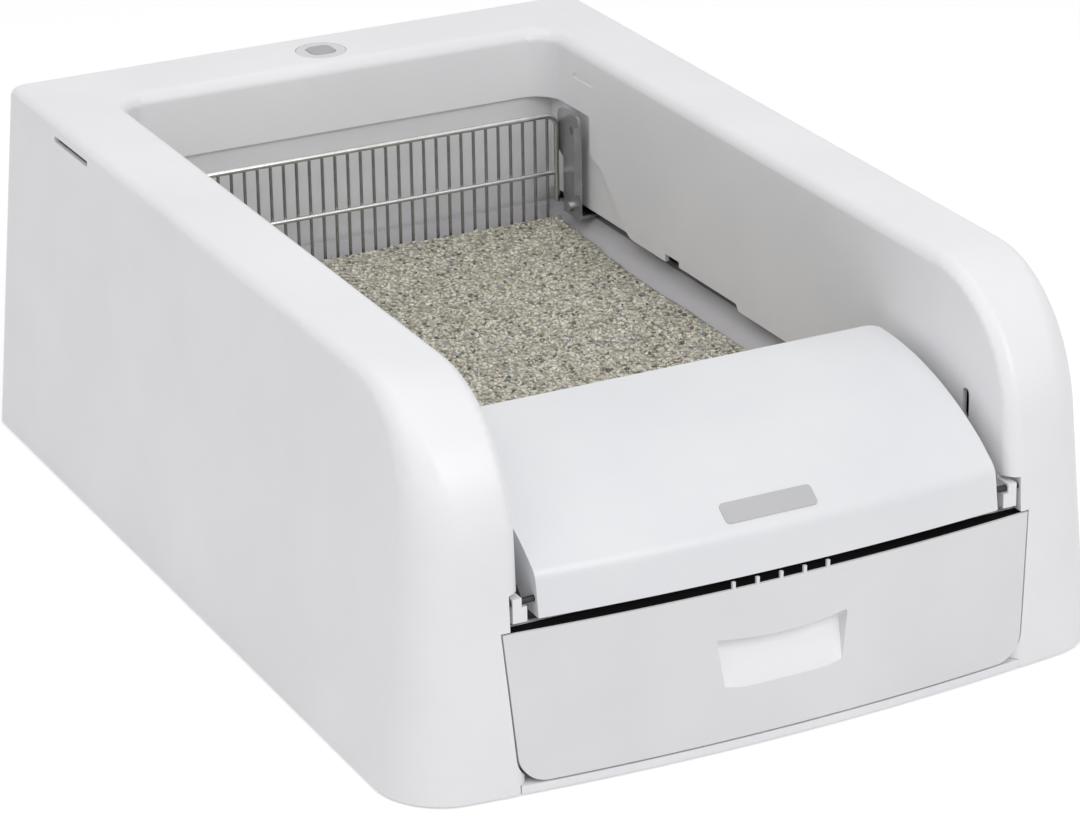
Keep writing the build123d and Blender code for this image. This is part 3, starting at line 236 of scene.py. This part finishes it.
def grain_bump(tree, shader, places, size_mm, depth_mm, strength):
    """Fine bump from the mould's texture, the plating or the clay."""
    grain = add_node(tree, "ShaderNodeTexNoise",
                     {"Scale": repeats(size_mm), "Detail": 4.0, "Roughness": 0.6},
                     {"Vector": places})
    bump = add_node(tree, "ShaderNodeBump", {"Distance": depth_mm * MM, "Strength": strength},
                    {"Height": grain.outputs["Fac"]})
    tree.links.new(bump.outputs["Normal"], shader.inputs["Normal"])


def moulded(name, low, high, rough_low, rough_high, grain_mm=0.6, strength=0.12, specular=0.5):
    """Moulded plastic or rubber with a fine spark-eroded texture: satin, with soft highlights."""
    material, tree, shader, places = new_material(name, roughness=0.4, ior=1.53)
    shader.inputs["Specular IOR Level"].default_value = specular
    two_tone(tree, shader, places, low, high, size_mm=90)
    roughness_drift(tree, shader, places, rough_low, rough_high, size_mm=25)
    # the real grain is near 0.1 mm, drawn coarser here so that it shows
    grain_bump(tree, shader, places, size_mm=grain_mm, depth_mm=0.03, strength=strength)
    return material


def plated_wire(name, low, high):
    """Nickel-plated steel wire, drawn and then plated: bright, its highlights a little uneven."""
    material, tree, shader, places = new_material(name, roughness=0.2)
    two_tone(tree, shader, places, low, high, size_mm=8)
    roughness_drift(tree, shader, places, 0.16, 0.3, size_mm=5)
    grain_bump(tree, shader, places, size_mm=1.2, depth_mm=0.02, strength=0.2)
    return material


def brushed_metal(name, low, high, rough_low, rough_high):
    """Rolled sheet, ground bar or turned bush: fine lines along Y stretch its highlights."""
    material, tree, shader, places = new_material(name, roughness=0.35)
    two_tone(tree, shader, places, low, high, size_mm=15)
    stretched = add_node(tree, "ShaderNodeMapping", {"Scale": (1, 0.04, 1)}, {"Vector": places})
    # real brushing is finer, drawn as lines about 0.5 mm apart so that it shows
    lines = add_node(tree, "ShaderNodeTexNoise", {"Scale": repeats(0.5), "Detail": 2.0},
                     {"Vector": stretched.outputs[0]})
    spread = add_node(tree, "ShaderNodeMapRange", {"To Min": rough_low, "To Max": rough_high},
                      {"Value": lines.outputs["Fac"]})
    tree.links.new(spread.outputs["Result"], shader.inputs["Roughness"])
    bump = add_node(tree, "ShaderNodeBump", {"Distance": 0.01 * MM, "Strength": 0.3},
                    {"Height": lines.outputs["Fac"]})
    tree.links.new(bump.outputs["Normal"], shader.inputs["Normal"])
    return material


def crushed_clay():
    """Loose grains of crushed bentonite: dry, matte, and each grain its own colour."""
    name = "crushed bentonite clay grains"
    material, tree, shader, places = new_material(name, roughness=0.85, ior=1.45)
    own = add_node(tree, "ShaderNodeAttribute", {"attribute_name": "grain"})
    # dust in patches of about 1 mm, so that a grain isn't one flat colour
    dust = add_node(tree, "ShaderNodeTexNoise", {"Scale": repeats(1.0), "Detail": 3.0},
                    {"Vector": places})
    shade = add_node(tree, "ShaderNodeMapRange", {"To Min": 0.82, "To Max": 1.12},
                     {"Value": dust.outputs["Fac"]})
    tinted = add_node(tree, "ShaderNodeVectorMath", {"operation": "SCALE"},
                      {0: own.outputs["Color"], "Scale": shade.outputs["Result"]})
    tree.links.new(tinted.outputs["Vector"], shader.inputs["Base Color"])
    grain_bump(tree, shader, places, size_mm=0.7, depth_mm=0.15, strength=0.5)
    return material


def packed_clay():
    """The bed under the loose grains: the same clay, darker because little light gets there."""
    name = "packed bentonite clay bed"
    material, tree, shader, places = new_material(name, roughness=0.9, ior=1.45)
    # grains about 3 mm across
    cells = add_node(tree, "ShaderNodeTexVoronoi", {"Scale": repeats(3.0)}, {"Vector": places})
    ramp = add_node(tree, "ShaderNodeValToRGB", {}, {"Fac": cells.outputs["Color"]})
    for tone, colour in zip(ramp.color_ramp.elements, ("#89867b", "#b8b4a6")):
        tone.color = linear(colour)
    tree.links.new(ramp.outputs["Color"], shader.inputs["Base Color"])
    bump = add_node(tree, "ShaderNodeBump",
                    {"Distance": 0.8 * MM, "Strength": 0.7, "invert": True},
                    {"Height": cells.outputs["Distance"]})
    tree.links.new(bump.outputs["Normal"], shader.inputs["Normal"])
    return material


# the shell: nearly white, its wide rounds read as soft pale bands
white_abs = moulded("white ABS, satin moulded", "#ebebed", "#f0f0f1", 0.34, 0.44)
# a smoother mould than the shell's, so the cover's curve has a tighter highlight
cover_abs = moulded("white ABS, glossier cover", "#e2e3e5", "#e7e8e9", 0.26, 0.36)
# a shade greyer than the shell beside it
drawer_abs = moulded("white ABS, drawer front", "#dededf", "#e4e4e5", 0.34, 0.44)
# the pan and bin: duller and coarser, so that they stay in the background
grey_abs = moulded("grey ABS, fine moulded", "#bab8ba", "#c3c1c3", 0.42, 0.52, 0.8, 0.2)
# the pale wall that the wires stand out against
liner_abs = moulded("light grey ABS, fine moulded", "#e8e8ea", "#efeff0", 0.42, 0.52, 0.8, 0.2)
# polished for the fingers, so it is glossier than the textured face round it; its colour is also
# painted whiter, painted light for the light that its upturned floor catches
scoop_glossy_lit_abs = moulded("white ABS, glossier scoop, painted light", "#f3f3f4", "#f6f6f7", 0.2, 0.28, 0.6, 0.05)
# a ring only a little darker than the deck, round a plainly grey button
ring_abs = moulded("pale grey ABS button ring", "#d4d4d5", "#dadadb", 0.36, 0.46)
button_abs = moulded("grey ABS button", "#a3a3a4", "#ababac", 0.4, 0.5)
# fine and slightly glossy, so the bare plate catches the light as the cover does
plate_abs = moulded("grey ABS badge plate", "#b9b9bb", "#c0c0c2", 0.3, 0.4, 0.5, 0.1)
# near black with a faint sheen: pulleys, gear, carriages and hinge pins
dark_pom = moulded("black POM, moulded", "#1d1d1f", "#262628", 0.38, 0.5, 0.6, 0.15)
# dull black that shows no sharp highlight: belts and feet
belt_rubber = moulded("black rubber", "#17181a", "#222325", 0.62, 0.78, 0.5, 0.35)
# painted shade: a near-black seal that sends back almost no highlight, so the band between the
# white mouldings stays black as the shaded gap there
gap_shade_seal = moulded("black EPDM seal, painted gap shade", "#060607", "#0c0c0d", 0.8, 0.92, 0.8, 0.3, specular=0.12)
# solder mask: smooth, slightly glossy dark green
board_fr4 = moulded("green glass-epoxy board", "#1c5a34", "#22683c", 0.3, 0.4, 1.0, 0.1)

# the heavy frame wire is bright; the thin tines between are the same plated wire painted darker,
# painted shade for the dark bay they reflect, and read as grey lines
wire_steel = plated_wire("nickel-plated steel wire", "#c6c6c4", "#d6d6d6")
tine_shaded_steel = plated_wire("nickel-plated steel tines, painted darker", "#a2a3a6", "#b2b3b6")

# the plates at the rake's ends: painted darker than the other sheet, painted shade for the bay's
# shade they stand in
rake_plate_shaded_steel = brushed_metal("stainless steel plate, painted darker", "#a9aaac", "#b9babc", 0.28, 0.42)
# bars, motor and brackets: lighter than the rake's plates
plate_steel = brushed_metal("stainless steel sheet, brushed", "#b4b4b4", "#c4c4c3", 0.28, 0.42)
# a faint blue cast from the zinc
screw_steel = brushed_metal("zinc-plated screw steel", "#b6b7ba", "#c8c8ca", 0.3, 0.45)
# dull yellow-brown, its highlights broken up by the pores
bronze = brushed_metal("sintered bronze", "#a8813f", "#b98f4a", 0.4, 0.6)

grain_clay = crushed_clay()
bed_clay = packed_clay()


# ---------------------------------------------------------------- smooth copies of CAD nodes
merge_gap = 0.01 * MM  # vertices nearer than this become one
flat_bend = math.radians(5)  # faces that meet more flatly than this are one surface
crease_bend = math.radians(32)  # edges that bend more than this stay sharp


def joined(items, pairs):
    """Splits items into groups that the pairs tie together; gives each item's group."""
    group = {item: item for item in items}

    def root(item):
        while group[item] is not item:
            group[item] = group[group[item]]
            item = group[item]
        return item

    for one, other in pairs:
        group[root(one)] = root(other)
    return {item: root(item) for item in items}


def surface_normals(bm):
    """Corner normals in which the wider surface counts for more.

    At the edge that a small round shares with a wide face, the normal then lies close to the
    wide face's own, so that the face isn't shaded as if it bent.
    """
    bends = {edge: edge.calc_face_angle(math.pi) for edge in bm.edges}
    surface = joined(bm.faces, [edge.link_faces for edge in bm.edges if bends[edge] < flat_bend])
    area = {}
    for face, whole in surface.items():
        area[whole] = area.get(whole, 0) + face.calc_area()
    normals = {}
    for vert in bm.verts:
        smooth = [edge.link_faces for edge in vert.link_edges if bends[edge] < crease_bend]
        corner = joined(vert.link_faces, smooth)
        sums = {}
        for loop in vert.link_loops:
            pull = loop.face.normal * (loop.calc_angle() * area[surface[loop.face]])
            sums[corner[loop.face]] = sums.get(corner[loop.face], Vector()) + pull
        for loop in vert.link_loops:
            normals[loop] = sums[corner[loop.face]].normalized()
    return [normals[loop] for face in bm.faces for loop in face.loops]


def smoothed(node, material):
    """A merged, smooth-shaded copy of a CAD node, which takes the node's place."""
    mesh = nodes[node].data.copy()
    bm = bmesh.new()
    bm.from_mesh(mesh)
    bmesh.ops.remove_doubles(bm, verts=bm.verts, dist=merge_gap)
    for face in bm.faces:
        face.smooth = True
    bm.normal_update()
    normals = surface_normals(bm)
    bm.to_mesh(mesh)
    bm.free()
    mesh.normals_split_custom_set(normals)
    mesh.materials.clear()
    mesh.materials.append(material)
    piece = link(f"{node}_skin", mesh)
    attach(piece, nodes[node]["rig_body"])
    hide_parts(node)
    return piece


skins = {}
for node, material, slot in (
    ("housing", white_abs, "white_plastic"),
    ("base", white_abs, "white_plastic"),
    ("waste_cover", cover_abs, "white_plastic"),
    ("drawer_front", drawer_abs, "white_plastic"),
    ("litter_pan", grey_abs, "grey_plastic"),
    ("bay_liner", liner_abs, "grey_plastic"),
    ("drawer_bin", grey_abs, "grey_plastic"),
    ("rake_frame", wire_steel, "wire_steel"),
    ("rake_tines", tine_shaded_steel, "wire_steel"),
    ("rake_plate_left", rake_plate_shaded_steel, "plate_steel"),
    ("rake_plate_right", rake_plate_shaded_steel, "plate_steel"),
    ("rake_bolts", screw_steel, "plate_steel"),
    ("cover_plate", plate_abs, "plate_grey"),
    ("button_ring", ring_abs, "white_plastic"),
    ("cycle_button", button_abs, "white_plastic"),
    ("hinge_pins", dark_pom, "plate_steel"),
    ("drawer_seal", gap_shade_seal, "rubber"),
):
    skins[node] = smoothed(node, material)

# the drawer's face, repeated from the part: its middle at the floor, its bow and its lean
face_front = -351.5 * MM
face_bow = 1600 * MM
face_lean = math.tan(math.radians(3.5))
# the scoop in it: half its width, its lowest and highest point, and how deep its rim goes
scoop_half = 46 * MM
scoop_low, scoop_high = 39 * MM, 75 * MM
scoop_rim = 0.5 * MM


def gloss_and_light_scoop(mesh):
    """Gives the scoop's inside its own finish, glossier and painted whiter as painted light: what
    lies behind the drawer's face there.
    """
    mesh.materials.append(scoop_glossy_lit_abs)
    for face in mesh.polygons:
        x, y, z = face.center
        behind = y - (face_front + x * x / (2 * face_bow) + z * face_lean)
        in_outline = abs(x) < scoop_half and scoop_low < z < scoop_high
        if in_outline and scoop_rim < behind and face.normal.y < 0:
            face.material_index = 1


gloss_and_light_scoop(skins["drawer_front"].data)


# ---------------------------------------------------------------- litter
bed_voxel = 2.5 * MM
bed_roll = 1.2 * MM  # how far the raked surface rises and falls
bed_drop = 0.8 * MM  # how far the whole top sits below the solid's, under the loose grains
roll_scale = (28, 18)  # per metre: rolls about 36 mm across and 56 mm along
ripple_scale = 120  # per metre: ripples about 8 mm apart
ripple_share = 0.4  # of the roll's height
top_facing = 0.7  # a vertex whose normal points up more than this is on the bed's top

grain_pitch = 2.5 * MM  # from one loose grain to the next
edge_gap = 2.5 * MM  # loose grains end this far inside the pan
grain_sink = (-0.6, 0.9)  # mm that a grain's middle stands below and above the bed
grain_radius = (0.9, 2.1, 1.3)  # mm: smallest, largest, usual
grain_knocks = (0.78, 1.12)  # how far corners are pushed in and out
grain_length = 1.3  # of its radius; width and height follow
grain_width = (0.6, 0.9)
grain_height = (0.5, 0.8)
grain_tilt = 0.7  # radians, at most
grain_light = (0.85, 1.12)  # how much darker or lighter than its colour a grain may be
# the counts of one grain's mesh, an icosphere's
grain_verts, grain_edges, grain_faces = 12, 30, 20
# mostly warm grey clay, some nearly white, a few dark or bluish grains: colour and share
grain_colours = [(linear(colour)[:3], share) for colour, share in (
    ("#cac6b6", 40), ("#d7d3c7", 24), ("#e4e1d8", 12),
    ("#a8a392", 12), ("#77746b", 7), ("#9ba3a6", 5))]

DOWN = Vector((0, 0, -1))


def litter_bed():
    """The CAD solid remeshed evenly, its top raised and lowered a little as raking leaves it."""
    start = link("litter_start", nodes["litter_bed"].data.copy())
    remesh = start.modifiers.new("even mesh", "REMESH")
    remesh.mode = "VOXEL"
    remesh.voxel_size = bed_voxel
    depsgraph = bpy.context.evaluated_depsgraph_get()
    even = bpy.data.meshes.new_from_object(start.evaluated_get(depsgraph))
    bpy.data.objects.remove(start)
    bm = bmesh.new()
    bm.from_mesh(even)
    for vert in bm.verts:
        if vert.normal.z > top_facing:
            x, y = vert.co.x, vert.co.y
            # the third numbers only pick two different slices of the noise
            roll = noise.noise(Vector((x * roll_scale[0], y * roll_scale[1], 3.0)))
            ripple = noise.noise(Vector((x * ripple_scale, y * ripple_scale, 7.0)))
            vert.co.z += bed_roll * (roll + ripple_share * ripple) - bed_drop
    for face in bm.faces:
        face.smooth = True
    bm.to_mesh(even)
    surface = BVHTree.FromBMesh(bm)
    bm.free()
    even.name = "litter_surface"
    even.materials.clear()
    even.materials.append(bed_clay)
    return link("litter_surface", even), surface


def grain_spots(surface):
    """One place for each loose grain: a grid with its points knocked about, inside the pan."""

    def hit(x, y):
        return surface.ray_cast(Vector((x, y, 1)), DOWN)[0]

    low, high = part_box("litter_bed")
    chance = random.Random(11)
    round_it = ((edge_gap, 0), (-edge_gap, 0), (0, edge_gap), (0, -edge_gap))
    spots = []
    for row in range(int((high[1] - low[1]) / grain_pitch)):
        for column in range(int((high[0] - low[0]) / grain_pitch)):
            x = low[0] + (column + chance.random()) * grain_pitch
            y = low[1] + (row + chance.random()) * grain_pitch
            if all(hit(x + dx, y + dy) is not None for dx, dy in round_it):
                spots.append((x, y, hit(x, y).z + chance.uniform(*grain_sink) * MM))
    return spots


def grain_shapes(count, seed):
    """One knocked-about grain, doubled until there are enough."""
    bm = bmesh.new()
    bmesh.ops.create_icosphere(bm, subdivisions=1, radius=1)
    chance = random.Random(seed)
    for vert in bm.verts:
        vert.co *= chance.uniform(*grain_knocks)
    made = 1
    while made < count:
        more = min(made, count - made)
        for part in (bm.verts, bm.edges, bm.faces):
            part.ensure_lookup_table()
        bmesh.ops.duplicate(bm, geom=bm.verts[:grain_verts * more]
                            + bm.edges[:grain_edges * more] + bm.faces[:grain_faces * more])
        made += more
    return bm


def scatter_grains(name, spots, seed):
    """Loose grains at the spots, each with its own size, turn and colour."""
    chance = random.Random(seed)
    bm = grain_shapes(len(spots), seed)
    layer = bm.verts.layers.float_color.new("grain")
    bm.verts.ensure_lookup_table()
    colours, shares = zip(*grain_colours)
    for index, spot in enumerate(spots):
        radius = chance.triangular(*grain_radius) * MM
        spin = Matrix.Rotation(chance.uniform(0, math.tau), 3, "Z")
        tilt = Matrix.Rotation(chance.uniform(-grain_tilt, grain_tilt), 3, "X")
        turn = spin @ tilt
        width = radius * chance.uniform(*grain_width)
        height = radius * chance.uniform(*grain_height)
        squash = Matrix.Diagonal((radius * grain_length, width, height))
        colour = chance.choices(colours, shares)[0]
        light = chance.uniform(*grain_light)
        for vert in bm.verts[grain_verts * index:grain_verts * (index + 1)]:
            vert.co = Vector(spot) + turn @ (squash @ vert.co)
            vert[layer] = (*(min(part * light, 1) for part in colour), 1)
    mesh = bpy.data.meshes.new(name)
    bm.to_mesh(mesh)
    bm.free()
    mesh.materials.append(grain_clay)
    return link(name, mesh)


def add_litter():
    """The bed and three pieces of loose grains on it, which lie still while the rake combs it."""
    bed, surface = litter_bed()
    spots = grain_spots(surface)
    third = len(spots) // 3
    pieces = [bed, scatter_grains("litter_grains_front", spots[:third], seed=5),
              scatter_grains("litter_grains_middle", spots[third:2 * third], seed=6),
              scatter_grains("litter_grains_back", spots[2 * third:], seed=7)]
    for piece in pieces:
        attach(piece, "box")
    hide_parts("litter_bed")


add_litter()

# ---------------------------------------------------------------- finishes of the other CAD nodes
for material, names in (
    (belt_rubber, ("feet", "belt_left", "belt_right")),
    (screw_steel, ("housing_screws", "liner_screws", "carriage_screws", "idler_pins",
                   "motor_screws", "drawer_screws", "board_screws")),
    (dark_pom, ("carriage_left", "carriage_right", "belt_clamps", "drive_pulley_left",
                "drive_pulley_right", "idler_left", "idler_right", "drive_gear",
                "board_components", "limit_switch", "power_inlet")),
    (plate_steel, ("guide_rod_left", "guide_rod_right", "drive_shaft", "gear_motor",
                   "motor_bracket")),
    (bronze, ("shaft_bushes", "motor_pinion")),
    (board_fr4, ("button_board", "control_board")),
):
    for node in names:
        nodes[node].data.materials.clear()
        nodes[node].data.materials.append(material)
